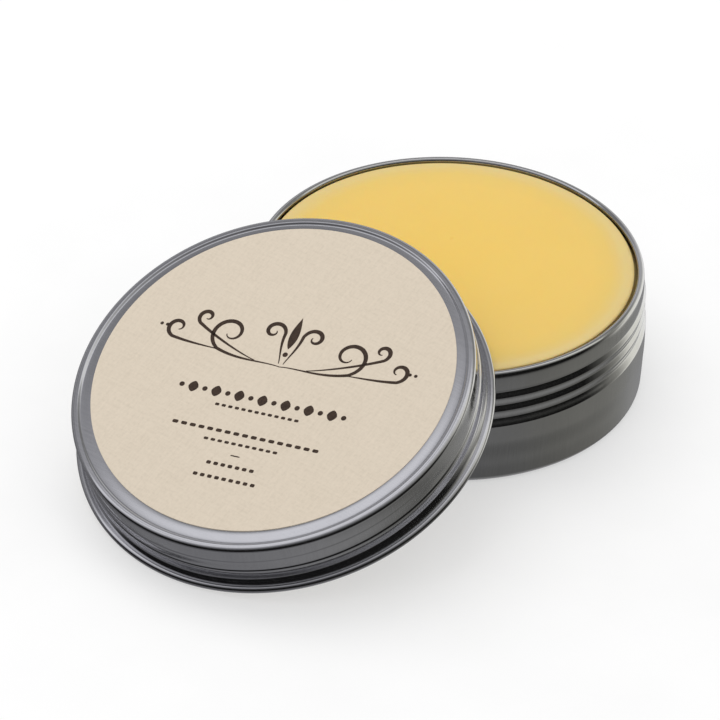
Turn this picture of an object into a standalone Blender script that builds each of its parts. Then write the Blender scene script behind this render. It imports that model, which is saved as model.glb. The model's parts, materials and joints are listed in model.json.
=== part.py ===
"""Shoe polish tin: a drawn can filled with wax, and its screw lid leaning on the can's rim.

The origin is the centre of the can's flat base, +Z is up, and the lid leans towards -X.
All dimensions are in metres.
"""

import math

import bmesh
import bpy

# Sheet and facets
SHEET = 0.0003
GAP = 0.0003
FACETS = 40
ARC_STEPS = 5

# Can, with its rim curled inwards over a rounded shoulder
RIM_RADIUS = 0.0320
CAN_HEIGHT = 0.02105
BEAD_RADIUS = 0.00055
SHOULDER_RADIUS = 0.03218
SHOULDER_HEIGHT = 0.0203
NECK_RADIUS = 0.0323
NECK_HEIGHT = 0.0192
BODY_RADIUS = 0.03275
BODY_HEIGHT = 0.01105
BASE_RADIUS = 0.03245
TAPER_HEIGHT = 0.0075
BASE_CORNER = 0.0011

# Thread rolled into the can's wall
THREAD_PITCH = 0.0025
CAN_CREST = 0.03245
CAN_ROOT = 0.0321
THREAD_TOP = 0.0173
THREAD_END = 0.0121
THREAD_RISE = 0.34
CAN_THREAD_ANGLE = math.radians(-115)
CAN_ROWS_PER_PITCH = 7

# Wax
WAX_BELOW_RIM = 0.00025
WAX_CROWN = 0.0001

# Lid, with heights measured up from the middle of its curled edge
LID_HEIGHT = 0.0095
LID_CORNER = 0.0331
LID_WALL = 0.03295
LID_PANEL_RADIUS = 0.0316
LID_RING_RADIUS = 0.03235
LID_RING_RISE = 0.0003
CURL_OUTER = 0.0345
CURL_RADIUS = 0.00065
LID_GROOVE = 0.0004
LID_THREAD_TOP = 0.0072
LID_THREAD_END = 0.0015
LID_THREAD_ANGLE = math.radians(-150)
LID_ROWS_PER_PITCH = 5

# Liner and label
LINER_RADIUS = 0.0323
LINER_THICKNESS = 0.0008
LABEL_RADIUS = 0.0299
LABEL_THICKNESS = 0.0002
LABEL_OFFSET = (0.0006, 0.0003, 0)

# How the lid leans
LEAN = math.radians(21.77)
LEAN_CLEARANCE = 0.00027

TIN = (0.55, 0.55, 0.57, 1.0)
WAX = (0.86, 0.62, 0.15, 1.0)
PAPER = (0.70, 0.62, 0.48, 1.0)
PULPBOARD = (0.62, 0.58, 0.50, 1.0)


def clear_scene():
    for obj in list(bpy.data.objects):
        bpy.data.objects.remove(obj, do_unlink=True)


def new_collection(name):
    collection = bpy.data.collections.new(name)
    bpy.context.scene.collection.children.link(collection)
    return collection


def principled(name, colour, roughness, metallic):
    material = bpy.data.materials.new(name)
    material.use_nodes = True
    shader = material.node_tree.nodes["Principled BSDF"]
    shader.inputs["Base Color"].default_value = colour
    shader.inputs["Roughness"].default_value = roughness
    shader.inputs["Metallic"].default_value = metallic
    return material


def arc(radius, height, tube, start, end, steps=ARC_STEPS):
    """Points round a section centred at (radius, height), from one angle to another in degrees."""
    angles = [math.radians(start + (end - start) * i / steps) for i in range(steps + 1)]
    return [(radius + tube * math.cos(a), height + tube * math.sin(a)) for a in angles]


def smooth_step(value):
    value = min(max(value, 0.0), 1.0)
    return value * value * (3 - 2 * value)


def levels(top, bottom, spacing):
    """Heights from top to bottom, both included, about spacing apart."""
    count = math.ceil((top - bottom) / spacing)
    return [top + (bottom - top) * i / count for i in range(count + 1)]


def turned(name, profile, collection, material):
    """A solid turned from a profile that runs down its outer side."""
    mesh = bpy.data.meshes.new(name)
    edges = [(i, i + 1) for i in range(len(profile) - 1)]
    mesh.from_pydata([(radius, 0, height) for radius, height in profile], edges, [])
    obj = bpy.data.objects.new(name, mesh)
    collection.objects.link(obj)
    screw = obj.modifiers.new("turn", "SCREW")
    screw.steps = FACETS
    screw.render_steps = FACETS
    screw.use_merge_vertices = True
    screw.merge_threshold = 0.00001
    mesh.materials.append(material)
    return obj


def made_real(obj):
    """Replaces the object's mesh with the one that its modifiers make."""
    graph = bpy.context.evaluated_depsgraph_get()
    mesh = bpy.data.meshes.new_from_object(obj.evaluated_get(graph))
    obj.modifiers.clear()
    obj.data = mesh


def roll(obj, offset):
    """Moves every point outwards by offset(angle, height), on both faces of the sheet."""
    shape = bmesh.new()
    shape.from_mesh(obj.data)
    for vertex in shape.verts:
        radius = math.hypot(vertex.co.x, vertex.co.y)
        if radius < LID_PANEL_RADIUS / 2:
            continue
        angle = math.atan2(vertex.co.y, vertex.co.x)
        scale = 1 + offset(angle, vertex.co.z) / radius
        vertex.co.x *= scale
        vertex.co.y *= scale
    shape.to_mesh(obj.data)
    shape.free()


def shade(obj):
    obj.data.shade_smooth()
    obj.data.set_sharp_from_angle(angle=math.radians(40))


def thread_turns(angle, height, start, start_angle):
    """Turns of a right-hand thread counted down from the height start at start_angle."""
    swing = (angle - start_angle + math.pi) % math.tau - math.pi
    return (start - height) / THREAD_PITCH + swing / math.tau


def can_thread(angle, height):
    """The can's thread: below each root a short slope out to a crest, and then a long slope back."""
    share = thread_turns(angle, height, THREAD_TOP, CAN_THREAD_ANGLE) % 1
    if share < THREAD_RISE:
        ridge = smooth_step(share / THREAD_RISE)
    else:
        ridge = 1 - smooth_step((share - THREAD_RISE) / (1 - THREAD_RISE))
    fade_in = smooth_step((THREAD_TOP - height) / (0.2 * THREAD_PITCH))
    fade_out = smooth_step((height - THREAD_END) / (0.4 * THREAD_PITCH))
    return (CAN_CREST - CAN_ROOT) * ridge * fade_in * fade_out


def lid_thread(angle, height):
    """The lid's thread as a narrow groove pressed inwards, deepest near the curl."""
    depth = smooth_step((LID_THREAD_TOP - height) / (1.6 * THREAD_PITCH))
    fade_out = smooth_step((height - LID_THREAD_END) / (0.3 * THREAD_PITCH))
    turns = thread_turns(angle, height, LID_THREAD_END, LID_THREAD_ANGLE)
    wave = 0.5 + 0.5 * math.cos(math.tau * turns)
    return -LID_GROOVE * wave**2 * depth * fade_out


def can_wall():
    """The outer face of the can's wall, from the neck down to the base corner."""
    rows = levels(THREAD_TOP, THREAD_END, THREAD_PITCH / CAN_ROWS_PER_PITCH)
    thread = [(CAN_ROOT, height) for height in rows]
    return [(NECK_RADIUS, NECK_HEIGHT)] + thread + [(BODY_RADIUS, BODY_HEIGHT), (BODY_RADIUS, TAPER_HEIGHT)]


def can_shell(collection, material):
    wall = can_wall()
    inner_wall = [(radius - SHEET, height) for radius, height in reversed(wall)]
    inner_corner = BASE_CORNER - SHEET
    corner_centre = BASE_RADIUS - BASE_CORNER
    bead_centre = (RIM_RADIUS - BEAD_RADIUS, CAN_HEIGHT - BEAD_RADIUS)
    profile = [(0, SHEET)]
    profile += arc(corner_centre, BASE_CORNER, inner_corner, -90, 0, 2)
    profile += inner_wall
    profile += arc(*bead_centre, BEAD_RADIUS, 290, 20, 2 * ARC_STEPS)
    profile += [(SHOULDER_RADIUS, SHOULDER_HEIGHT)]
    profile += wall
    profile += arc(corner_centre, BASE_CORNER, BASE_CORNER, 0, -90, 3)
    profile += [(0, 0)]
    obj = turned("can_shell", profile, collection, material)
    made_real(obj)
    roll(obj, can_thread)
    shade(obj)
    return obj


def wax_polish(collection, material):
    """The wax, following the inside of the can at a distance."""
    space = SHEET + GAP
    top = CAN_HEIGHT - WAX_BELOW_RIM
    mouth = RIM_RADIUS - 2 * BEAD_RADIUS - GAP
    neck = CAN_ROOT - space
    belly = BODY_RADIUS - space
    foot = BASE_RADIUS - space
    profile = [(0, top), (0.9 * mouth, top - WAX_CROWN), (mouth, top - 2 * WAX_CROWN)]
    profile += [(mouth, CAN_HEIGHT - 2.2 * BEAD_RADIUS), (neck, CAN_HEIGHT - 3.2 * BEAD_RADIUS)]
    profile += [(neck, THREAD_END), (belly, BODY_HEIGHT - GAP)]
    profile += [(belly, TAPER_HEIGHT), (foot, BASE_CORNER + GAP), (foot - BASE_CORNER, space), (0, space)]
    obj = turned("wax_polish", profile, collection, material)
    shade(obj)
    return obj


def lid_wall():
    """The outer face of the lid's skirt, from under its corner down to the flare above the curl."""
    rows = levels(LID_THREAD_TOP, LID_THREAD_END, THREAD_PITCH / LID_ROWS_PER_PITCH)
    return [(LID_WALL, height) for height in rows]


def lid_shell(collection, material):
    ring_height = LID_HEIGHT
    panel_height = LID_HEIGHT - LID_RING_RISE
    ring_tube = LID_CORNER - LID_RING_RADIUS
    curl_centre = CURL_OUTER - CURL_RADIUS
    wall = lid_wall()
    profile = [(0, panel_height), (LID_PANEL_RADIUS, panel_height)]
    profile += arc(LID_RING_RADIUS, ring_height - ring_tube, ring_tube, 100, 0, 4)
    profile += wall
    profile += arc(curl_centre, 0, CURL_RADIUS, 130, -150, 2 * ARC_STEPS)
    profile += [(LID_WALL - SHEET, 0.0001)]
    profile += [(radius - SHEET, height) for radius, height in reversed(wall)]
    inner_tube = ring_tube - SHEET
    profile += arc(LID_RING_RADIUS, ring_height - ring_tube, inner_tube, 0, 100, 3)
    profile += [(LID_PANEL_RADIUS, panel_height - SHEET), (0, panel_height - SHEET)]
    obj = turned("lid_shell", profile, collection, material)
    made_real(obj)
    roll(obj, lid_thread)
    shade(obj)
    return obj


def disc(name, radius, top, thickness, collection, material):
    """A flat disc whose upper face is at the height top."""
    profile = [(0, top), (radius, top), (radius, top - thickness), (0, top - thickness)]
    obj = turned(name, profile, collection, material)
    shade(obj)
    return obj


def rim_distance(point):
    """The distance from a point to the circle along the middle of the can's bead."""
    across = math.hypot(point[0], point[1]) - (RIM_RADIUS - BEAD_RADIUS)
    return math.hypot(across, point[2] - (CAN_HEIGHT - BEAD_RADIUS))


def lean_clearance(distance, height):
    """The least gap between the lid's curl and the can's bead, with the lid's centre at -distance."""
    ring = CURL_OUTER - CURL_RADIUS
    gaps = []
    for step in range(720):
        angle = math.tau * step / 720
        downhill = ring * math.cos(angle)
        point = (
            -distance - downhill * math.cos(LEAN),
            ring * math.sin(angle),
            height - downhill * math.sin(LEAN),
        )
        gaps.append(rim_distance(point) - BEAD_RADIUS - CURL_RADIUS)
    return min(gaps)


def lean_centre():
    """Where the middle of the curled edge is: its low side on the table, its curl resting on the rim."""
    height = (CURL_OUTER - CURL_RADIUS) * math.sin(LEAN) + CURL_RADIUS
    near = RIM_RADIUS
    far = RIM_RADIUS + 2 * CURL_OUTER
    for _ in range(40):
        middle = 0.5 * (near + far)
        if lean_clearance(middle, height) > LEAN_CLEARANCE:
            far = middle
        else:
            near = middle
    return (-far, 0, height)


def lid_axis(collection):
    """An empty on the lid's own axis, which the lid's pieces are parented to."""
    empty = bpy.data.objects.new("lid_axis", None)
    collection.objects.link(empty)
    empty.location = lean_centre()
    empty.rotation_euler = (0, -LEAN, 0)
    return empty


def build():
    clear_scene()
    tin = new_collection("shoe_polish_tin")
    tinplate = principled("tinplate", TIN, 0.28, 1.0)
    can_shell(tin, tinplate)
    wax_polish(tin, principled("wax", WAX, 0.45, 0.0))

    panel_height = LID_HEIGHT - LID_RING_RISE
    lid = lid_shell(tin, principled("lid_tinplate", TIN, 0.32, 1.0))
    liner_top = panel_height - SHEET - GAP
    pulpboard = principled("pulpboard", PULPBOARD, 0.9, 0.0)
    liner = disc("lid_liner", LINER_RADIUS, liner_top, LINER_THICKNESS, tin, pulpboard)
    label_top = panel_height + GAP + LABEL_THICKNESS
    paper = principled("label_paper", PAPER, 0.85, 0.0)
    label = disc("lid_label", LABEL_RADIUS, label_top, LABEL_THICKNESS, tin, paper)
    label.location = LABEL_OFFSET

    axis = lid_axis(tin)
    for piece in (lid, liner, label):
        piece.parent = axis


build()
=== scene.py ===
"""The looks of a shoe polish tin: a drawn can filled with wax, and its screw lid leaning on the rim.

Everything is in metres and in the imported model's frame: the origin is the middle of the can's flat
base, +Z is up, and the lid leans towards -X.
"""

import json
import math

import bpy
from mathutils import Matrix, Vector, noise


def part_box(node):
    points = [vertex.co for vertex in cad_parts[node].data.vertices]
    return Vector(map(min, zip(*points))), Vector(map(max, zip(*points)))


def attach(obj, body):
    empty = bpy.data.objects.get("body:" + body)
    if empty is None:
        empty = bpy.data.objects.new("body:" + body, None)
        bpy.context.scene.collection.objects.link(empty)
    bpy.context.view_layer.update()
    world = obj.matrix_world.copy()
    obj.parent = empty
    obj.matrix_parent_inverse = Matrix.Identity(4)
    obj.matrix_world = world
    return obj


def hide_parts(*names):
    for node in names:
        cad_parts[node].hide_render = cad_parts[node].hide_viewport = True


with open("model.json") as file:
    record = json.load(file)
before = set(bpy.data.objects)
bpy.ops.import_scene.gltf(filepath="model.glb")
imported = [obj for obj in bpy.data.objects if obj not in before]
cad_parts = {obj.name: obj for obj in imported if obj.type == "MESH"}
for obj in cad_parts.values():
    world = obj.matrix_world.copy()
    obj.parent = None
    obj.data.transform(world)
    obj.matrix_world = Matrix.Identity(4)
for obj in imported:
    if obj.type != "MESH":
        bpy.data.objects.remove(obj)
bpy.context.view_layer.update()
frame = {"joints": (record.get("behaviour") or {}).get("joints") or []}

# Turned shapes: points round each ring, the spacing of rows on a threaded wall, and the sheet's thickness
SEGMENTS = 288
ROW_SPACING = 0.00008
SHEET = 0.0003

# Can: heights from its base, and the angles in degrees where its curled rim starts and ends
CAN_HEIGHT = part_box("can_shell")[1].z
RIM_RADIUS = 0.0320
BEAD_RADIUS = 0.00055
BEAD_START = 290
BEAD_END = 27
INNER_TOP = 0.0199
NECK_RADIUS = 0.03214
NECK_HEIGHT = 0.0183
NECK_EDGE = 0.00045
BODY_RADIUS = 0.03275
FOOT_RADIUS = 0.03245
BASE_CORNER = 0.0011

# The shallow recess in the base: its depth, and how far inside the corner its slope starts and ends
BASE_RECESS = 0.0002
RECESS_START = 0.0010
RECESS_END = 0.0018

# Thread rolled into the can's wall, and the step under it that leads out to the body
THREAD_PITCH = 0.0025
THREAD_DEPTH = 0.00035
THREAD_TOP = 0.0173
THREAD_LAST = THREAD_TOP - 2 * THREAD_PITCH
THREAD_EDGE = 0.0002
THREAD_ROOT = 0.03212
ROOT_GROWTH = 0.00008
CREST_LOSS = 0.14
RIDGE_RISE = 0.36
RIDGE_STRAIGHT = 0.75
STEP_HEIGHT = 0.00125
STEP_END = 0.0104
CAN_THREAD_ANGLE = math.radians(-115)
RUN_OUT = math.radians(60)

# Wax: its crown, the rolled edge, and the ring where it set first
WAX_RADIUS = 0.0304
WAX_TOP = CAN_HEIGHT - 0.00030
WAX_RINGS = 120
WAX_CROWDING = 1.3
WAX_CROWN = 0.00008
WAX_ROLL = 0.00022
WAX_ROLL_DROP = 0.00012
SET_RING_RADIUS = 0.0284
SET_RING_WIDTH = 0.0008
SET_RING_DEPTH = 0.00006

# Ripples in the wax: scale and height of each, where they end, and the width in which they fade
RIPPLES = ((120, 0.00004), (600, 0.00001))
RIPPLE_END = 0.0301
RIPPLE_FADE = 0.002

# Marks in the wax: x, y, length, width, direction and depth
WAX_MARKS = (
    (-0.0008, 0.0056, 0.0016, 0.00030, 0.5, 0.00016),
    (0.0062, 0.0044, 0.0003, 0.0003, 0.0, 0.00020),
    (0.0100, -0.0040, 0.0009, 0.0003, 1.1, 0.00005),
    (-0.0120, -0.0090, 0.0020, 0.0004, 2.0, 0.00003),
)

# The wax below its surface, as radius and height: it fills the can down to just above its floor
WAX_SIDE = (
    (0.03042, 0.02030), (0.03040, 0.0199), (0.0307, 0.0194), (0.0314, 0.0189), (0.03150, 0.0180),
    (0.03150, 0.0124), (0.03210, 0.0107), (0.03210, 0.0070), (0.03180, 0.0016), (0.0308, 0.0006),
    (0, 0.0006),
)

# Lid: heights from the middle of its curled edge, and the curl's first and last angle in degrees
LID_HEIGHT = 0.00949
LID_PANEL = 0.00928
LID_CORNER = 0.0331
LID_CORNER_TUBE = 0.00075
LID_CORNER_DROP = 0.000025
LID_WALL = 0.03308
LID_WALL_TOP = 0.0087
LID_NECK = 0.03283
LID_TAPER_TOP = 0.0088
LID_TAPER_HEIGHT = 0.0050
FLARE_TOP = 0.0016
FLARE_END = 0.0005
FLARE_WIDTH = 0.0006
FLARE_STEPS = 11
CURL_OUTER = 0.03449
CURL_RADIUS = 0.00065
CURL_START = 130
CURL_END = -150

# Lid's top: where its flat panel ends, where its shaped edge starts and ends, the start, width and rise
# of each step in that edge, and the slope outside its crown
PANEL_END = 0.0285
EDGE_START = 0.0288
EDGE_END = 0.0324
EDGE_POINTS = 40
EDGE_STEPS = (
    (0.0289, 0.0006, 0.00006),
    (0.0295, 0.0021, -0.00011),
    (0.0315, 0.0005, LID_HEIGHT - LID_PANEL + 0.00005),
)
EDGE_CROWN = 0.0319
EDGE_SLOPE = 0.075

# Lid's thread, a helical step in the skirt: its turns, counted up from the middle one, with the strength
# of each, and the step's depth, place and section
LID_TURNS = ((1, 0.8), (0, 1), (-1, 0.45))
LID_STEP = 0.00016
LID_STEP_ANGLE = math.radians(210)
LID_STEP_HEIGHT = 0.0037
LID_STEP_EDGE = 0.00032
LID_STEP_CREST = 0.0002
LID_STEP_FADE = 0.0020

# The highest turn of the lid's thread, the lowest point of any turn, the heights in which each fades in,
# and the height above which the skirt is plain
LID_THREAD_TOP = 0.0068
LID_THREAD_TOP_FADE = 0.0012
LID_THREAD_FOOT = 0.0006
LID_THREAD_FOOT_FADE = 0.0008
LID_THREAD_LIMIT = 0.0086

# Dents in the skirt: angle in degrees, height, width round the skirt, width up the skirt and depth
LID_DENTS = (
    (183, 0.00585, 0.0016, 0.0007, 0.00004),
    (270, 0.0054, 0.0014, 0.0006, 0.00004),
    (270, 0.0030, 0.0018, 0.0006, 0.00003),
    (232, 0.0066, 0.0030, 0.0008, 0.00002),
)

# Label and liner
LABEL_RADIUS = 0.02992
LABEL_OFFSET = (0.0006, 0.0003)
LABEL_THICKNESS = 0.00015
LABEL_EDGE = 0.00004
LABEL_TOP = LID_PANEL + LABEL_THICKNESS
LINER_RADIUS = 0.0322
LINER_THICKNESS = 0.0008
LINER_EDGE = 0.0001
LINER_TOP = LID_PANEL - SHEET - 0.0001

# The lid's place in the frame, from the axis that it turns about
turn = next(joint for joint in frame["joints"] if joint["name"] == "lid_turn")
LID_CENTRE = Vector(turn["pos_m"])
LID_AXIS = Vector(turn["axis"]).normalized()
UPHILL = Vector((0, 1, 0)).cross(LID_AXIS)
LID_TURN = Matrix((UPHILL, (0, 1, 0), LID_AXIS)).transposed()
LID_MATRIX = Matrix.Translation(LID_CENTRE) @ LID_TURN.to_4x4()


# ---------------------------------------------------------------- shapes

def smooth_step(value):
    value = min(max(value, 0.0), 1.0)
    return value * value * (3 - 2 * value)


def mix(a, b, share):
    return a + (b - a) * share


def weighted(weights, points):
    """The sum of 2D points, each times its weight."""
    return tuple(sum(w * p[k] for w, p in zip(weights, points)) for k in range(2))


def arc(radius, height, tube, start, end, steps):
    """Points round a section centred at (radius, height), from one angle to another in degrees."""
    angles = [math.radians(mix(start, end, i / steps)) for i in range(steps + 1)]
    return [(radius + tube * math.cos(a), height + tube * math.sin(a)) for a in angles]


def levels(top, bottom):
    """Heights from top to bottom, both included, about ROW_SPACING apart."""
    count = math.ceil((top - bottom) / ROW_SPACING)
    return [mix(top, bottom, i / count) for i in range(count + 1)]


def smoothed(points, steps=5):
    """A curve through all the points, with rounded corners."""
    ends = [points[0]] + list(points) + [points[-1]]
    curve = []
    for stretch in zip(ends, ends[1:], ends[2:], ends[3:]):
        for i in range(steps):
            t = i / steps
            weights = (
                (-t + 2 * t * t - t**3) / 2,
                (2 - 5 * t * t + 3 * t**3) / 2,
                (t + 4 * t * t - 3 * t**3) / 2,
                (t**3 - t * t) / 2,
            )
            curve.append(weighted(weights, stretch))
    return curve + [points[-1]]


def swing(angle, start):
    """The turn from start to angle, between half a turn back and half a turn on."""
    return (angle - start + math.pi) % math.tau - math.pi


def finished(name, points, faces, matrix=None, sharp=50):
    """An object from points in its own frame, which the matrix places once and for all."""
    if matrix is not None:
        points = [matrix @ Vector(point) for point in points]
    mesh = bpy.data.meshes.new(name)
    mesh.from_pydata(points, [], faces)
    mesh.update()
    mesh.shade_smooth()
    mesh.set_sharp_from_angle(angle=math.radians(sharp))
    obj = bpy.data.objects.new(name, mesh)
    bpy.context.scene.collection.objects.link(obj)
    return obj


def skin(name, rings, matrix=None):
    """A closed surface over rings of points, from one pole to the other; a pole is a ring of one point."""
    points = []
    starts = []
    for ring in rings:
        starts.append((len(points), len(ring)))
        points += ring
    faces = []
    for (upper, upper_count), (lower, lower_count) in zip(starts, starts[1:]):
        for i in range(SEGMENTS):
            j = (i + 1) % SEGMENTS
            corners = (
                upper + i % upper_count,
                lower + i % lower_count,
                lower + j % lower_count,
                upper + j % upper_count,
            )
            faces.append(tuple(dict.fromkeys(corners)))
    return finished(name, points, faces, matrix)


def circle(radius, height, offset=None):
    """A ring of points; offset(angle, radius, height) moves each of them outwards."""
    if radius == 0:
        return [(0, 0, height)]
    ring = []
    for i in range(SEGMENTS):
        angle = math.tau * i / SEGMENTS
        moved = radius + (offset(angle, radius, height) if offset else 0)
        ring.append((moved * math.cos(angle), moved * math.sin(angle), height))
    return ring


def revolve(name, profile, matrix=None, offset=None):
    return skin(name, [circle(radius, height, offset) for radius, height in profile], matrix)


# ---------------------------------------------------------------- can

def thread_line(angle):
    """How far the thread has climbed at this angle; its two ends are eased together at the back."""
    turned = swing(angle, CAN_THREAD_ANGLE)
    ease = 1 - smooth_step((abs(turned) - RUN_OUT) / RUN_OUT)
    return THREAD_PITCH * turned / math.tau * ease


def thread_ridge(share):
    """One pitch of the rolled thread going down the wall: 0 at a root, and soon 1 at a crest."""
    if share < RIDGE_RISE:
        return RIDGE_STRAIGHT * share / RIDGE_RISE + (1 - RIDGE_STRAIGHT) * smooth_step(share / RIDGE_RISE)
    return 1 - smooth_step((share - RIDGE_RISE) / (1 - RIDGE_RISE))


def can_thread(angle, _radius, height):
    """The neck's lower edge, the thread's two ridges and the step out to the body."""
    if not STEP_END <= height < NECK_HEIGHT:
        return 0
    line = thread_line(angle)
    neck = (NECK_RADIUS - THREAD_ROOT) * smooth_step((height - line - THREAD_TOP) / NECK_EDGE)
    turns = (THREAD_TOP - height) / THREAD_PITCH + swing(angle, CAN_THREAD_ANGLE) / math.tau
    inside = smooth_step((THREAD_TOP + line + THREAD_EDGE / 2 - height) / THREAD_EDGE)
    inside *= smooth_step((height - line - THREAD_LAST) / THREAD_EDGE)
    lower = smooth_step((THREAD_TOP + line - height) / (2 * THREAD_PITCH))
    ridge = THREAD_DEPTH * (1 - CREST_LOSS * lower) * thread_ridge(turns % 1.0) * inside
    share = min(max((THREAD_LAST + line - height) / STEP_HEIGHT, 0), 1)
    step = (BODY_RADIUS - THREAD_ROOT - ROOT_GROWTH) * (0.5 * share + 0.5 * smooth_step(share))
    return neck + ROOT_GROWTH * lower + ridge + step


def can_wall():
    """The outer face of the can's wall without its thread, from the rim's tube down to the foot."""
    shoulder = smoothed((
        (0.03196, CAN_HEIGHT - 0.00034),
        (0.03204, CAN_HEIGHT - 0.00058),
        (0.03207, CAN_HEIGHT - 0.00078),
        (0.032095, CAN_HEIGHT - 0.00115),
        (0.03212, CAN_HEIGHT - 0.0019),
        (NECK_RADIUS, NECK_HEIGHT),
    ))
    thread = [(THREAD_ROOT, height) for height in levels(NECK_HEIGHT - 0.0001, STEP_END)]
    foot = smoothed((
        (BODY_RADIUS, STEP_END - 0.0002),
        (BODY_RADIUS, 0.0088),
        (BODY_RADIUS - 0.00001, 0.0074),
        (0.03262, 0.0050),
        (0.03255, 0.0030),
        (FOOT_RADIUS, BASE_CORNER),
    ))
    return shoulder + thread + foot


def can_body():
    """The drawn can: its inside from the base up to the rim, and its outside back down."""
    wall = can_wall()
    tube = (RIM_RADIUS - BEAD_RADIUS, CAN_HEIGHT - BEAD_RADIUS)
    corner = FOOT_RADIUS - BASE_CORNER
    recess = SHEET + BASE_RECESS
    profile = [(0, recess), (corner - RECESS_END, recess), (corner - RECESS_START, SHEET)]
    profile += arc(corner, BASE_CORNER, BASE_CORNER - SHEET, -90, 0, 8)
    profile += [(radius - SHEET, height) for radius, height in reversed(wall[::2]) if height < INNER_TOP]
    profile += arc(*tube, BEAD_RADIUS, BEAD_START, BEAD_END, 30)
    profile += wall
    profile += arc(corner, BASE_CORNER, BASE_CORNER, 0, -90, 12)
    profile += [(corner - RECESS_START, 0), (corner - RECESS_END, BASE_RECESS), (0, BASE_RECESS)]
    return revolve("can_body", profile, offset=can_thread)


# ---------------------------------------------------------------- wax

def wax_height(x, y):
    """The poured surface: a shallow crown, a ring where it set first, soft ripples and marks."""
    radius = math.hypot(x, y)
    crown = -WAX_CROWN * (radius / WAX_RADIUS) ** 2
    ring = -SET_RING_DEPTH * math.exp(-(((radius - SET_RING_RADIUS) / SET_RING_WIDTH) ** 2))
    edge = -WAX_ROLL_DROP * smooth_step((radius - WAX_RADIUS + WAX_ROLL) / WAX_ROLL) ** 2
    ripple = 0
    for layer, (scale, depth) in enumerate(RIPPLES):
        ripple += depth * noise.noise(Vector((x, y, 3 * layer)) * scale)
    ripple *= smooth_step((RIPPLE_END - radius) / RIPPLE_FADE)
    marks = 0
    for mark_x, mark_y, length, width, angle, depth in WAX_MARKS:
        along = (x - mark_x) * math.cos(angle) + (y - mark_y) * math.sin(angle)
        across = (y - mark_y) * math.cos(angle) - (x - mark_x) * math.sin(angle)
        marks -= depth * math.exp(-((along / length) ** 2) - (across / width) ** 2)
    return WAX_TOP + crown + ring + edge + ripple + marks


def wax_fill():
    """The wax: its surface in rings that crowd towards the edge, and its side down inside the can."""
    rings = [[(0, 0, wax_height(0, 0))]]
    for i in range(1, WAX_RINGS + 1):
        ring = circle(WAX_RADIUS * (1 - (1 - i / WAX_RINGS) ** WAX_CROWDING), 0)
        rings.append([(x, y, wax_height(x, y)) for x, y, _ in ring])
    rings += [circle(radius, height) for radius, height in WAX_SIDE]
    return skin("wax_fill", rings)


# ---------------------------------------------------------------- lid

def lid_thread(angle, radius, height):
    """The lid's thread, a shallow helical step in the skirt, and a few faint dents."""
    if not LID_THREAD_FOOT < height < LID_THREAD_LIMIT:
        return 0
    line = LID_STEP_HEIGHT + THREAD_PITCH * swing(angle, LID_STEP_ANGLE) / math.tau
    foot = smooth_step((height - LID_THREAD_FOOT) / LID_THREAD_FOOT_FADE)
    moved = 0
    for turns, share in LID_TURNS:
        turn_height = line + turns * THREAD_PITCH
        below = turn_height - height
        strength = share * smooth_step((LID_THREAD_TOP - turn_height) / LID_THREAD_TOP_FADE) * foot
        rise = smooth_step((below + LID_STEP_EDGE / 2) / LID_STEP_EDGE)
        moved += LID_STEP * strength * (rise - smooth_step((below - LID_STEP_CREST) / LID_STEP_FADE))
    for dent_angle, dent_height, wide, high, depth in LID_DENTS:
        around = swing(angle, math.radians(dent_angle)) * radius / wide
        up = (height - dent_height) / high
        moved -= depth * math.exp(-around * around - up * up)
    return moved


def lid_wall():
    """The outer face of the lid's skirt, from under its corner down to the flare above the curl."""
    rows = []
    for height in levels(LID_WALL_TOP, FLARE_TOP):
        taper = smooth_step((LID_TAPER_TOP - height) / LID_TAPER_HEIGHT)
        rows.append((mix(LID_WALL, LID_NECK, taper), height))
    flare = []
    for i in range(1, FLARE_STEPS):
        share = i / FLARE_STEPS
        flare.append((LID_NECK + FLARE_WIDTH * share**1.5, mix(FLARE_TOP, FLARE_END, share)))
    return rows + flare


def lid_top(radius):
    """The height of the lid's top: a flat panel, faint steps round it and a raised edge."""
    height = LID_PANEL
    for start, width, rise in EDGE_STEPS:
        height += rise * smooth_step((radius - start) / width)
    return height - EDGE_SLOPE * max(radius - EDGE_CROWN, 0)


def lid_cap():
    """The pressed lid: its top and skirt, the curl, and the same way back inside."""
    top = [(0, LID_PANEL), (0.010, LID_PANEL), (0.020, LID_PANEL), (PANEL_END, LID_PANEL)]
    for i in range(1, EDGE_POINTS):
        radius = mix(EDGE_START, EDGE_END, i / EDGE_POINTS)
        top.append((radius, lid_top(radius)))
    corner = (LID_CORNER - LID_CORNER_TUBE, LID_HEIGHT - LID_CORNER_TUBE - LID_CORNER_DROP)
    wall = lid_wall()
    profile = top + arc(*corner, LID_CORNER_TUBE, 84, 4, 16)
    profile += wall
    profile += arc(CURL_OUTER - CURL_RADIUS, 0, CURL_RADIUS, CURL_START, CURL_END, 30)
    profile += [(LID_NECK - SHEET, 0.0001)]
    profile += [(radius - SHEET, height) for radius, height in reversed(wall[::2])]
    profile += arc(*corner, LID_CORNER_TUBE - SHEET, 4, 84, 8)
    profile += [(radius, height - SHEET) for radius, height in reversed(top[::3])]
    return revolve("lid_cap", profile, LID_MATRIX, lid_thread)


def disc(name, radius, top, thickness, edge, matrix):
    """A flat disc with a softly rounded edge."""
    profile = [(0, top), (0.5 * radius, top), (radius - 4 * edge, top)]
    profile += arc(radius - edge, top - edge, edge, 90, 0, 5)
    profile += arc(radius - edge, top - thickness + edge, edge, 0, -90, 5)
    profile += [(0.5 * radius, top - thickness), (0, top - thickness)]
    return revolve(name, profile, matrix)


# ---------------------------------------------------------------- print on the label

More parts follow.
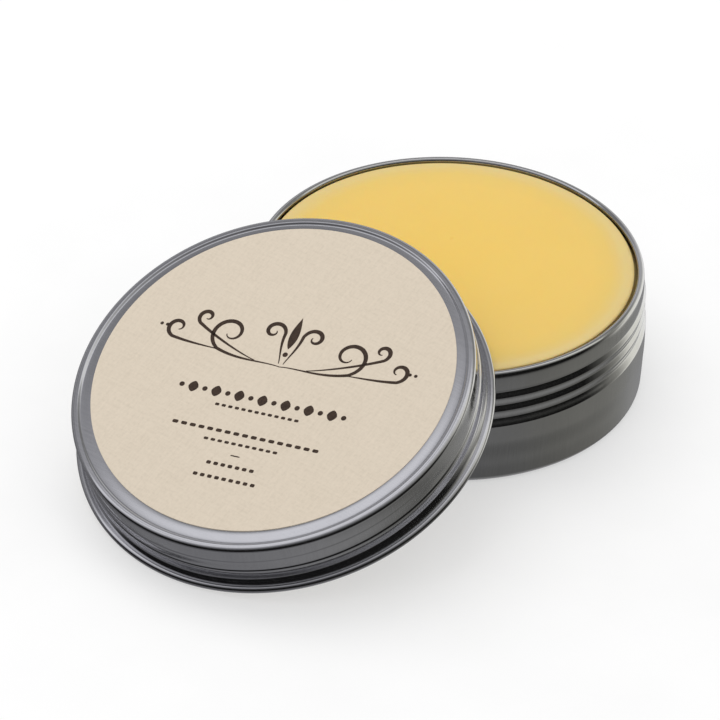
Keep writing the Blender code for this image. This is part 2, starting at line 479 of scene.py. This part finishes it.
# The print's directions and place on the lid, how deep and how thick its ink lies on the paper, and the
# thinnest line in mm
PRINT_ALONG = Vector((0.250, -0.968))
PRINT_UP = Vector((0.968, 0.250))
PRINT_PLACE = Vector((0.0004, 0))
INK_SUNK = 0.00001
INK_THICKNESS = 0.00003
THINNEST_LINE = 0.02
MILLIMETRE = 0.001

# Steps along a stem, a spiral, the leaf and a mark
STEM_STEPS = 24
SPIRAL_STEPS = 60
LEAF_STEPS = 16
MARK_STEPS = 12

# Scrolls of the ornament in mm: start, its direction, spiral's centre, radii, first angle and sweep
SCROLLS = (
    ((0.0, 2.4), (9.0, 1.5), (10.5, 6.9), 3.6, 0.7, -70, 400),
    ((0.4, 3.0), (1.0, 5.0), (3.6, 8.9), 2.0, 0.4, 180, -380),
    ((11.0, 3.3), (6.0, 0.5), (19.6, 6.0), 2.0, 0.5, -80, 330),
    ((4.6, 2.7), (5.0, 1.0), (15.6, 9.0), 1.6, 0.4, -60, 340),
)

# Leaf and dots of the ornament in mm: the leaf's foot, tip and width, and each dot's place and size
LEAF_FOOT = 6.0
LEAF_TIP = 12.4
LEAF_WIDTH = 1.5
DOTS = ((0, 4.9, 0.9), (-22.6, 6.0, 0.6), (-21.6, 6.0, 0.6), (21.6, 6.0, 0.6), (22.6, 6.0, 0.6))

# Row of diamonds with dots between them in mm: its height on the label, and from one to the next
DIAMONDS_EACH_SIDE = 7
DIAMOND_ROW = -4.5
DIAMOND_SPACE = 2.05

# Rows of marks in mm: height on the label, half the row's length, mark's length, height and space
ROWS = (
    (-6.85, 7.6, 0.75, 0.50, 0.42),
    (-11.6, 13.5, 1.05, 0.62, 0.50),
    (-13.5, 6.7, 0.80, 0.50, 0.42),
    (-15.7, 0.84, 1.68, 0.22, 0.50),
    (-17.75, 4.4, 0.80, 0.62, 0.46),
    (-20.3, 5.9, 0.80, 0.62, 0.46),
)


def stroke(points, faces, path, widths):
    """Adds a thin closed ribbon along a path in mm, with its width at each point."""
    first = len(points)
    last = len(path) - 1
    for i, (along, up) in enumerate(path):
        before = path[max(i - 1, 0)]
        after = path[min(i + 1, last)]
        heading = Vector((after[0] - before[0], after[1] - before[1])).normalized()
        half = max(widths[i], THINNEST_LINE) / 2
        for side, top in ((1, 1), (-1, 1), (-1, 0), (1, 0)):
            flat = Vector((along - side * heading.y * half, up + side * heading.x * half)) * MILLIMETRE
            place = PRINT_PLACE + PRINT_ALONG * flat.x + PRINT_UP * flat.y
            points.append((place.x, place.y, LABEL_TOP - INK_SUNK + INK_THICKNESS * top))
    for i in range(last):
        for j in range(4):
            k = (j + 1) % 4
            a = first + 4 * i
            b = a + 4
            faces.append((a + j, a + k, b + k, b + j))
    end = first + 4 * last
    faces.append((first + 3, first + 2, first + 1, first))
    faces.append((end, end + 1, end + 2, end + 3))


def scroll(start, heading, centre, first_radius, last_radius, first_angle, sweep):
    """A stem that runs into a spiral, as points in mm."""
    angle = math.radians(first_angle)
    turn_side = math.copysign(1, sweep)
    meet = (centre[0] + first_radius * math.cos(angle), centre[1] + first_radius * math.sin(angle))
    speed = 1.2 * math.dist(start, meet)
    arriving = (-math.sin(angle) * turn_side * speed, math.cos(angle) * turn_side * speed)
    path = []
    for i in range(STEM_STEPS):
        t = i / STEM_STEPS
        weights = (2 * t**3 - 3 * t * t + 1, t**3 - 2 * t * t + t, 3 * t * t - 2 * t**3, t**3 - t * t)
        path.append(weighted(weights, (start, heading, meet, arriving)))
    for i in range(SPIRAL_STEPS + 1):
        radius = mix(first_radius, last_radius, (i / SPIRAL_STEPS) ** 0.8)
        angle = math.radians(first_angle + sweep * i / SPIRAL_STEPS)
        path.append((centre[0] + radius * math.cos(angle), centre[1] + radius * math.sin(angle)))
    return path


def mark(points, faces, along, up, length, height, roundness):
    """A level mark: its ends are pointed at a roundness near 1, round at 2 and square above that."""
    path = []
    widths = []
    for i in range(MARK_STEPS + 1):
        share = 2 * i / MARK_STEPS - 1
        path.append((along + share * length / 2, up))
        widths.append(height * max(1 - abs(share) ** roundness, 0) ** (1 / roundness))
    stroke(points, faces, path, widths)


def label_print():
    """Scrollwork over rows of plain marks, which stand in for the label's wording."""
    points = []
    faces = []
    for shape in SCROLLS:
        path = scroll(*shape)
        widths = [0.16 + 0.58 * math.sin(math.pi * i / (len(path) - 1)) ** 1.5 for i in range(len(path))]
        stroke(points, faces, path, widths)
        stroke(points, faces, [(-along, up) for along, up in path], widths)
    shares = [i / LEAF_STEPS for i in range(LEAF_STEPS + 1)]
    leaf = [(0, mix(LEAF_FOOT, LEAF_TIP, share)) for share in shares]
    stroke(points, faces, leaf, [LEAF_WIDTH * math.sin(math.pi * share**0.8) for share in shares])
    for along, up, size in DOTS:
        mark(points, faces, along, up, size, size, 2)
    for i in range(-DIAMONDS_EACH_SIDE, DIAMONDS_EACH_SIDE + 1):
        length, height, roundness = (1.75, 2.1, 1.5) if i % 2 == 0 else (0.9, 0.9, 2)
        mark(points, faces, i * DIAMOND_SPACE, DIAMOND_ROW, length, height, roundness)
    for up, half, length, height, space in ROWS:
        count = max(round(2 * half / (length + space)), 1)
        for i in range(count):
            along = (i - (count - 1) / 2) * (length + space)
            mark(points, faces, along, up, length, height, 4)
    return finished("label_print", points, faces, LID_MATRIX, 30)


# ---------------------------------------------------------------- nodes

# Sockets of a Mix node that is set to colour
MIX_FIRST = 6
MIX_SECOND = 7
MIX_RESULT = 2


def new_material(name):
    material = bpy.data.materials.new(name)
    material.use_nodes = True
    tree = material.node_tree
    return material, tree, tree.nodes["Principled BSDF"]


def can_space(tree):
    """Places in the whole model's frame."""
    return tree.nodes.new("ShaderNodeTexCoord").outputs["Object"]


def lid_space(tree):
    """Places in the lid's own frame."""
    mapping = tree.nodes.new("ShaderNodeMapping")
    mapping.vector_type = "TEXTURE"
    mapping.inputs["Location"].default_value = LID_CENTRE
    mapping.inputs["Rotation"].default_value = LID_TURN.to_euler()
    tree.links.new(can_space(tree), mapping.inputs["Vector"])
    return mapping.outputs["Vector"]


def stretched(tree, vector, scale, turn_z=0.0):
    """The same places, turned about Z and then scaled."""
    mapping = tree.nodes.new("ShaderNodeMapping")
    mapping.inputs["Rotation"].default_value = (0, 0, turn_z)
    mapping.inputs["Scale"].default_value = scale
    tree.links.new(vector, mapping.inputs["Vector"])
    return mapping.outputs["Vector"]


def noise_field(tree, vector, scale, detail=4.0, roughness=0.55):
    made = tree.nodes.new("ShaderNodeTexNoise")
    made.inputs["Scale"].default_value = scale
    made.inputs["Detail"].default_value = detail
    made.inputs["Roughness"].default_value = roughness
    tree.links.new(vector, made.inputs["Vector"])
    return made.outputs["Fac"]


def ranged(tree, value, low, high, to_low, to_high, soft=False):
    """The value, moved from one range to another; soft eases it at both ends."""
    made = tree.nodes.new("ShaderNodeMapRange")
    made.interpolation_type = "SMOOTHSTEP" if soft else "LINEAR"
    made.inputs["From Min"].default_value = low
    made.inputs["From Max"].default_value = high
    made.inputs["To Min"].default_value = to_low
    made.inputs["To Max"].default_value = to_high
    tree.links.new(value, made.inputs["Value"])
    return made.outputs["Result"]


def spread(tree, field, to_low, to_high):
    """A noise field, which mostly lies between 0.3 and 0.7, moved to another range."""
    return ranged(tree, field, 0.3, 0.7, to_low, to_high)


def ramp(tree, value, stops):
    """A colour for each value, from (value, colour) stops."""
    made = tree.nodes.new("ShaderNodeValToRGB")
    elements = made.color_ramp.elements
    while len(elements) < len(stops):
        elements.new(0.5)
    for element, (place, colour) in zip(elements, stops):
        element.position = place
        element.color = (*colour, 1)
    tree.links.new(value, made.inputs["Fac"])
    return made.outputs["Color"]


def maths(tree, operation, a, b):
    made = tree.nodes.new("ShaderNodeMath")
    made.operation = operation
    for socket, value in zip(made.inputs, (a, b)):
        if isinstance(value, (int, float)):
            socket.default_value = value
        else:
            tree.links.new(value, socket)
    return made.outputs["Value"]


def vector_maths(tree, operation, a, b):
    made = tree.nodes.new("ShaderNodeVectorMath")
    made.operation = operation
    for socket, value in zip(made.inputs, (a, b)):
        if isinstance(value, (tuple, Vector)):
            socket.default_value = value
        else:
            tree.links.new(value, socket)
    return made


def blended(tree, first, second, share):
    """A sum of two values, of which the second takes the given share."""
    kept = maths(tree, "MULTIPLY", first, 1 - share)
    return maths(tree, "ADD", kept, maths(tree, "MULTIPLY", second, share))


def colour_mix(tree, factor, first, second, blend_type="MIX"):
    """The first colour at factor 0 and the second at 1; each is a colour or a socket."""
    made = tree.nodes.new("ShaderNodeMix")
    made.data_type = "RGBA"
    made.blend_type = blend_type
    tree.links.new(factor, made.inputs["Factor"])
    for place, value in ((MIX_FIRST, first), (MIX_SECOND, second)):
        if isinstance(value, tuple):
            made.inputs[place].default_value = (*value, 1)
        else:
            tree.links.new(value, made.inputs[place])
    return made.outputs[MIX_RESULT]


def bump(tree, height, distance, strength, normal=None):
    made = tree.nodes.new("ShaderNodeBump")
    made.inputs["Distance"].default_value = distance
    made.inputs["Strength"].default_value = strength
    tree.links.new(height, made.inputs["Height"])
    if normal is not None:
        tree.links.new(normal, made.inputs["Normal"])
    return made.outputs["Normal"]


# ---------------------------------------------------------------- materials

# Tint, grain's turn and roughness of the can's tinplate and the lid's
CAN_TINT = (0.60, 0.60, 0.60)
CAN_GRAIN_TURN = 0.0
CAN_ROUGHNESS = 0.115
LID_TINT = (0.60, 0.60, 0.615)
LID_GRAIN_TURN = math.radians(60)
LID_ROUGHNESS = 0.13

# Wax's colour by the share of WAX_COLOUR_END from its middle, with painted shade in its last stop that
# darkens it at the rim, and what its blotches are multiplied by
WAX_COLOURS_AND_RIM_SHADE = (
    (0.00, (0.905, 0.612, 0.135)),
    (0.78, (0.870, 0.600, 0.152)),
    (0.88, (0.830, 0.590, 0.160)),
    (0.925, (0.800, 0.590, 0.200)),
    (0.955, (0.780, 0.600, 0.240)),
    (0.985, (0.760, 0.585, 0.245)),
    (1.00, (0.640, 0.480, 0.190)),
)
WAX_COLOUR_END = 0.0305
WAX_BLOTCH = (0.97, 0.955, 0.90)

# Paper's colours, and the turn of its linen emboss
PAPER_COLOURS = (
    (0.36, (0.660, 0.573, 0.460)),
    (0.50, (0.710, 0.619, 0.502)),
    (0.66, (0.748, 0.653, 0.532)),
)
LINEN_TURN = math.radians(14.5)

INK_COLOURS = ((0.35, (0.036, 0.022, 0.015)), (0.70, (0.070, 0.044, 0.030)))
BOARD_COLOURS = ((0.34, (0.40, 0.36, 0.29)), (0.52, (0.58, 0.54, 0.45)), (0.68, (0.68, 0.64, 0.56)))


def tinplate(name, space, tint, grain_turn, roughness):
    """Satin tinplate with a fine straight grain left by the rolling mill."""
    material, tree, shader = new_material(name)
    shader.inputs["Metallic"].default_value = 1.0
    places = space(tree)
    lines = stretched(tree, places, (1, 0.035, 0.035), grain_turn)
    grain = noise_field(tree, lines, 5200, 3.0, 0.6)
    cloud = noise_field(tree, places, 160)
    speck = noise_field(tree, places, 1500, 3.0)
    dark = tuple(channel * 0.93 for channel in tint)
    light = tuple(channel * 1.05 for channel in tint)
    colours = ramp(tree, blended(tree, grain, cloud, 0.4), ((0.30, dark), (0.70, light)))
    tree.links.new(colours, shader.inputs["Base Color"])
    rough = spread(tree, grain, roughness - 0.02, roughness + 0.03)
    tree.links.new(maths(tree, "ADD", rough, spread(tree, speck, -0.01, 0.01)), shader.inputs["Roughness"])
    fine = bump(tree, grain, 0.000001, 0.5)
    tree.links.new(bump(tree, cloud, 0.00002, 0.06, fine), shader.inputs["Normal"])
    return material


def wax_material():
    """Semi-gloss wax, slightly translucent, with faint darker blotches, a greyer edge and painted shade
    where it meets the rim.
    """
    material, tree, shader = new_material("wax")
    places = can_space(tree)
    flat = vector_maths(tree, "MULTIPLY", places, (1, 1, 0)).outputs["Vector"]
    length = vector_maths(tree, "LENGTH", flat, (0, 0, 0)).outputs["Value"]
    wander = spread(tree, noise_field(tree, places, 90), -0.0004, 0.0004)
    radius = maths(tree, "ADD", length, wander)
    # The ramp's last stop is painted shade, which darkens the wax where it meets the rim
    colours = ramp(tree, ranged(tree, radius, 0, WAX_COLOUR_END, 0, 1), WAX_COLOURS_AND_RIM_SHADE)
    blotch = noise_field(tree, places, 45, 5.0)
    share = ranged(tree, blotch, 0.35, 0.75, 0.0, 0.5)
    tree.links.new(colour_mix(tree, share, colours, WAX_BLOTCH, "MULTIPLY"), shader.inputs["Base Color"])
    shader.inputs["Subsurface Weight"].default_value = 0.35
    shader.inputs["Subsurface Radius"].default_value = (1.0, 0.55, 0.18)
    shader.inputs["Subsurface Scale"].default_value = 0.0010
    shader.inputs["Specular IOR Level"].default_value = 0.35
    tree.links.new(spread(tree, blotch, 0.42, 0.55), shader.inputs["Roughness"])
    skin_noise = noise_field(tree, places, 700)
    tree.links.new(bump(tree, skin_noise, 0.00002, 0.35), shader.inputs["Normal"])
    return material


def paper_material():
    """Uncoated stock with a fine linen emboss."""
    material, tree, shader = new_material("label_paper")
    places = lid_space(tree)
    along = noise_field(tree, stretched(tree, places, (1, 0.08, 1), LINEN_TURN), 3000, 3.0)
    across = noise_field(tree, stretched(tree, places, (0.08, 1, 1), LINEN_TURN), 3000, 3.0)
    weave = maths(tree, "MULTIPLY", maths(tree, "ADD", along, across), 0.5)
    fibre = noise_field(tree, places, 1800)
    colours = ramp(tree, blended(tree, weave, fibre, 0.45), PAPER_COLOURS)
    tree.links.new(colours, shader.inputs["Base Color"])
    tree.links.new(spread(tree, weave, 0.62, 0.8), shader.inputs["Roughness"])
    shader.inputs["Specular IOR Level"].default_value = 0.3
    tree.links.new(bump(tree, weave, 0.00002, 0.4), shader.inputs["Normal"])
    return material


def ink_material():
    """Dark brown ink that takes the tooth of the paper."""
    material, tree, shader = new_material("print_ink")
    tooth = noise_field(tree, lid_space(tree), 2600)
    tree.links.new(ramp(tree, tooth, INK_COLOURS), shader.inputs["Base Color"])
    tree.links.new(spread(tree, tooth, 0.5, 0.7), shader.inputs["Roughness"])
    shader.inputs["Specular IOR Level"].default_value = 0.25
    tree.links.new(bump(tree, tooth, 0.00001, 0.3), shader.inputs["Normal"])
    return material


def board_material():
    """Grey-brown pulpboard with loose fibres."""
    material, tree, shader = new_material("pulpboard")
    places = lid_space(tree)
    fibre = noise_field(tree, stretched(tree, places, (1, 0.2, 1)), 1400, 6.0, 0.7)
    fleck = noise_field(tree, places, 260)
    mixed = maths(tree, "MULTIPLY", maths(tree, "ADD", fibre, fleck), 0.5)
    tree.links.new(ramp(tree, mixed, BOARD_COLOURS), shader.inputs["Base Color"])
    tree.links.new(spread(tree, fibre, 0.8, 0.95), shader.inputs["Roughness"])
    tree.links.new(bump(tree, fibre, 0.00006, 0.5), shader.inputs["Normal"])
    return material


# ---------------------------------------------------------------- stage

CAMERA_LENS = 305.97
CAMERA_SENSOR = 36
CAMERA_AZIMUTH = math.radians(-52.085)
CAMERA_ELEVATION = math.radians(35.2443)
CAMERA_ROLL = math.radians(1.7456)
CAMERA_DISTANCE = 1.0169891
CAMERA_ASIDE = -0.0142077
CAMERA_ABOVE = 0.0007796

# Level directions to the camera's right and towards the camera
RIGHT = Vector((math.cos(CAMERA_AZIMUTH), math.sin(CAMERA_AZIMUTH), 0))
FRONT = Vector((math.sin(CAMERA_AZIMUTH), -math.cos(CAMERA_AZIMUTH), 0))

FLOOR_SIZE = 8
FLOOR_DROP = 0.00005

KEY_DIRECTION = (RIGHT * -0.25 - FRONT * 0.35 + Vector((0, 0, 0.9))).normalized()
KEY_DISTANCE = 0.9
KEY_SIZE = 0.9
KEY_WATTS = 2.5

# Light that matt surfaces get from all round, and the background that the camera sees
FILL = (0.80, 0.80, 0.80)
BACKGROUND = (1, 1, 1)

# Brightness round the horizon by the angle in degrees from the camera's side towards its right
HORIZON = (
    (-180, 0.30), (-140, 0.25), (-104, 0.20), (-95, 0.05), (-85, 0.008), (80, 0.008), (92, 0.10),
    (105, 0.35), (118, 1.00), (150, 1.10), (165, 0.60), (180, 0.30),
)
# The same for the table below it
TABLE = (
    (-180, 0.22), (-120, 0.17), (-60, 0.17), (0, 0.18), (60, 0.19), (105, 0.23), (143, 0.31), (180, 0.26),
)
# How much of the table's brightness is left, by the height of the direction that looks down on it
TABLE_DEPTH = ((-1.0, 1.40), (-0.90, 1.35), (-0.69, 0.60), (-0.60, 1.00), (0, 1.00))
# Brightness of the soft box overhead, by the angle in degrees over the tin from the camera's side
OVERHEAD = (
    (0, 0.008), (18, 0.02), (35, 0.09), (55, 0.25), (75, 0.50), (95, 0.84), (105, 1.05), (107, 0.82),
    (110, 0.50), (113, 0.38), (119, 0.32), (126, 0.25), (133, 0.22), (140, 0.36), (150, 0.66), (158, 0.62),
    (169, 0.30), (180, 0.22),
)
# The most that a brightness in these lists may be
GLOW_TOP = 1.5

# Heights of the direction between which the horizon starts and ends, the table ends and the box starts
HORIZON_START = (-0.52, -0.40)
HORIZON_END = (0.12, 0.40)
TABLE_END = (-0.54, -0.40)
OVERHEAD_START = (0.0, 0.5)

# How much lower the horizon starts and the table ends on the right, and the angles between which that
# comes in and goes out again
RIGHT_DROP = 0.04
DROP_START = (100, 115)
DROP_END = (165, 180)

# Tint of the reflected studio, from its left to its right
TINT_RANGE = (-0.5, 0.9)
TINTS = (
    (0.0, (0.95, 0.95, 1.00)),
    (0.6, (0.98, 0.98, 0.99)),
    (0.85, (1.00, 1.00, 0.98)),
    (1.0, (1.00, 0.99, 0.91)),
)


def add_camera():
    """A long lens from the front left of the frame, looking down on the tin."""
    back = FRONT * math.cos(CAMERA_ELEVATION) + Vector((0, 0, math.sin(CAMERA_ELEVATION)))
    up = back.cross(RIGHT)
    place = back * CAMERA_DISTANCE + RIGHT * CAMERA_ASIDE + up * CAMERA_ABOVE
    side = RIGHT * math.cos(CAMERA_ROLL) + up * math.sin(CAMERA_ROLL)
    axes = Matrix((side, back.cross(side), back)).transposed()
    lens = bpy.data.cameras.new("camera")
    lens.lens = CAMERA_LENS
    lens.sensor_width = CAMERA_SENSOR
    lens.clip_start = 0.01
    camera = bpy.data.objects.new("camera", lens)
    bpy.context.scene.collection.objects.link(camera)
    camera.matrix_world = Matrix.Translation(place) @ axes.to_4x4()
    bpy.context.scene.camera = camera


def add_floor():
    """A pale floor that glows a little, so that the shadows on it stay soft and light."""
    bpy.ops.mesh.primitive_plane_add(size=FLOOR_SIZE, location=(0, 0, -FLOOR_DROP))
    floor = bpy.context.object
    floor.name = "floor"
    material, tree, shader = new_material("floor")
    grain = noise_field(tree, can_space(tree), 30, 3.0)
    for socket, dark, light in (("Base Color", 0.49, 0.51), ("Emission Color", 0.98, 1)):
        greys = ((0.3, (dark,) * 3), (0.7, (light,) * 3))
        tree.links.new(ramp(tree, grain, greys), shader.inputs[socket])
    shader.inputs["Emission Strength"].default_value = 0.50
    shader.inputs["Roughness"].default_value = 0.9
    shader.inputs["Specular IOR Level"].default_value = 0.1
    floor.data.materials.append(material)
    floor.visible_glossy = False


def glow_curve(tree, value, stops):
    """Brightness read off a list of (value, brightness) stops."""
    low = stops[0][0]
    high = stops[-1][0]
    places = [((place - low) / (high - low), (glow / GLOW_TOP,) * 3) for place, glow in stops]
    return maths(tree, "MULTIPLY", ramp(tree, ranged(tree, value, low, high, 0, 1), places), GLOW_TOP)


def angle_from_front(tree, value, front):
    """The angle in degrees from the front towards the direction that value is measured along."""
    return maths(tree, "MULTIPLY", maths(tree, "ARCTAN2", value, front), 180 / math.pi)


def studio_glow(tree, direction):
    """What the metal reflects in each direction: the lights round the horizon, the table and the box."""
    front = vector_maths(tree, "DOT_PRODUCT", direction, FRONT).outputs["Value"]
    right = vector_maths(tree, "DOT_PRODUCT", direction, RIGHT).outputs["Value"]
    height = vector_maths(tree, "DOT_PRODUCT", direction, (0, 0, 1)).outputs["Value"]
    around = angle_from_front(tree, right, front)
    over = angle_from_front(tree, height, front)

    drop_in = ranged(tree, around, *DROP_START, 0, 1, True)
    drop = maths(tree, "MULTIPLY", drop_in, ranged(tree, around, *DROP_END, RIGHT_DROP, 0, True))
    over_table = maths(tree, "ADD", height, drop)
    horizon = glow_curve(tree, around, HORIZON)
    horizon = maths(tree, "MULTIPLY", horizon, ranged(tree, over_table, *HORIZON_START, 0, 1, True))
    horizon = maths(tree, "MULTIPLY", horizon, ranged(tree, height, *HORIZON_END, 1, 0, True))
    table = glow_curve(tree, around, TABLE)
    table = maths(tree, "MULTIPLY", table, ranged(tree, over_table, *TABLE_END, 1, 0, True))
    table = maths(tree, "MULTIPLY", table, glow_curve(tree, height, TABLE_DEPTH))
    overhead = glow_curve(tree, over, OVERHEAD)
    overhead = maths(tree, "MULTIPLY", overhead, ranged(tree, height, *OVERHEAD_START, 0, 1, True))
    glow = maths(tree, "ADD", maths(tree, "ADD", horizon, table), overhead)

    tint = ramp(tree, ranged(tree, right, *TINT_RANGE, 0, 1, True), TINTS)
    tinted = tree.nodes.new("ShaderNodeVectorMath")
    tinted.operation = "SCALE"
    tree.links.new(tint, tinted.inputs[0])
    tree.links.new(glow, tinted.inputs["Scale"])
    return tinted.outputs["Vector"]


def add_world():
    """Soft, even fill for matt surfaces, and a dark studio with soft lights for the metal to reflect."""
    world = bpy.data.worlds.new("studio")
    bpy.context.scene.world = world
    world.use_nodes = True
    tree = world.node_tree
    direction = tree.nodes.new("ShaderNodeTexCoord").outputs["Generated"]
    rays = tree.nodes.new("ShaderNodeLightPath").outputs
    lit = colour_mix(tree, rays["Is Glossy Ray"], FILL, studio_glow(tree, direction))
    seen = colour_mix(tree, rays["Is Camera Ray"], lit, BACKGROUND)
    tree.links.new(seen, tree.nodes["Background"].inputs["Color"])


def add_key_light():
    """One large soft light from above and behind, which the metal doesn't reflect."""
    lamp = bpy.data.lights.new("key", "AREA")
    lamp.shape = "DISK"
    lamp.size = KEY_SIZE
    lamp.energy = KEY_WATTS
    light = bpy.data.objects.new("key", lamp)
    aim = KEY_DIRECTION.to_track_quat("Z", "Y").to_matrix().to_4x4()
    light.matrix_world = Matrix.Translation(KEY_DIRECTION * KEY_DISTANCE) @ aim
    light.visible_glossy = False
    bpy.context.scene.collection.objects.link(light)


# ---------------------------------------------------------------- assembly

def paint(obj, material, slot_name, body, *stands_for):
    """Gives a piece its material, the body that it rides on and the nodes that it stands for."""
    obj.data.materials.append(material)
    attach(obj, body)
    if stands_for:
        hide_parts(*stands_for)


def build():
    tin = tinplate("tinplate", can_space, CAN_TINT, CAN_GRAIN_TURN, CAN_ROUGHNESS)
    lid_tin = tinplate("lid_tinplate", lid_space, LID_TINT, LID_GRAIN_TURN, LID_ROUGHNESS)
    paint(can_body(), tin, "tinplate", "can", "can_shell")
    paint(wax_fill(), wax_material(), "wax", "can", "wax_polish")
    paint(lid_cap(), lid_tin, "lid_tinplate", "lid", "lid_shell")
    label_matrix = LID_MATRIX @ Matrix.Translation((*LABEL_OFFSET, 0))
    label = disc("label_paper", LABEL_RADIUS, LABEL_TOP, LABEL_THICKNESS, LABEL_EDGE, label_matrix)
    paint(label, paper_material(), "label_paper", "lid", "lid_label")
    paint(label_print(), ink_material(), "label_paper", "lid")
    liner = disc("liner_board", LINER_RADIUS, LINER_TOP, LINER_THICKNESS, LINER_EDGE, LID_MATRIX)
    paint(liner, board_material(), "pulpboard", "liner", "lid_liner")


build()
add_camera()
add_floor()
add_world()
add_key_light()
bpy.context.scene.view_settings.view_transform = "Standard"
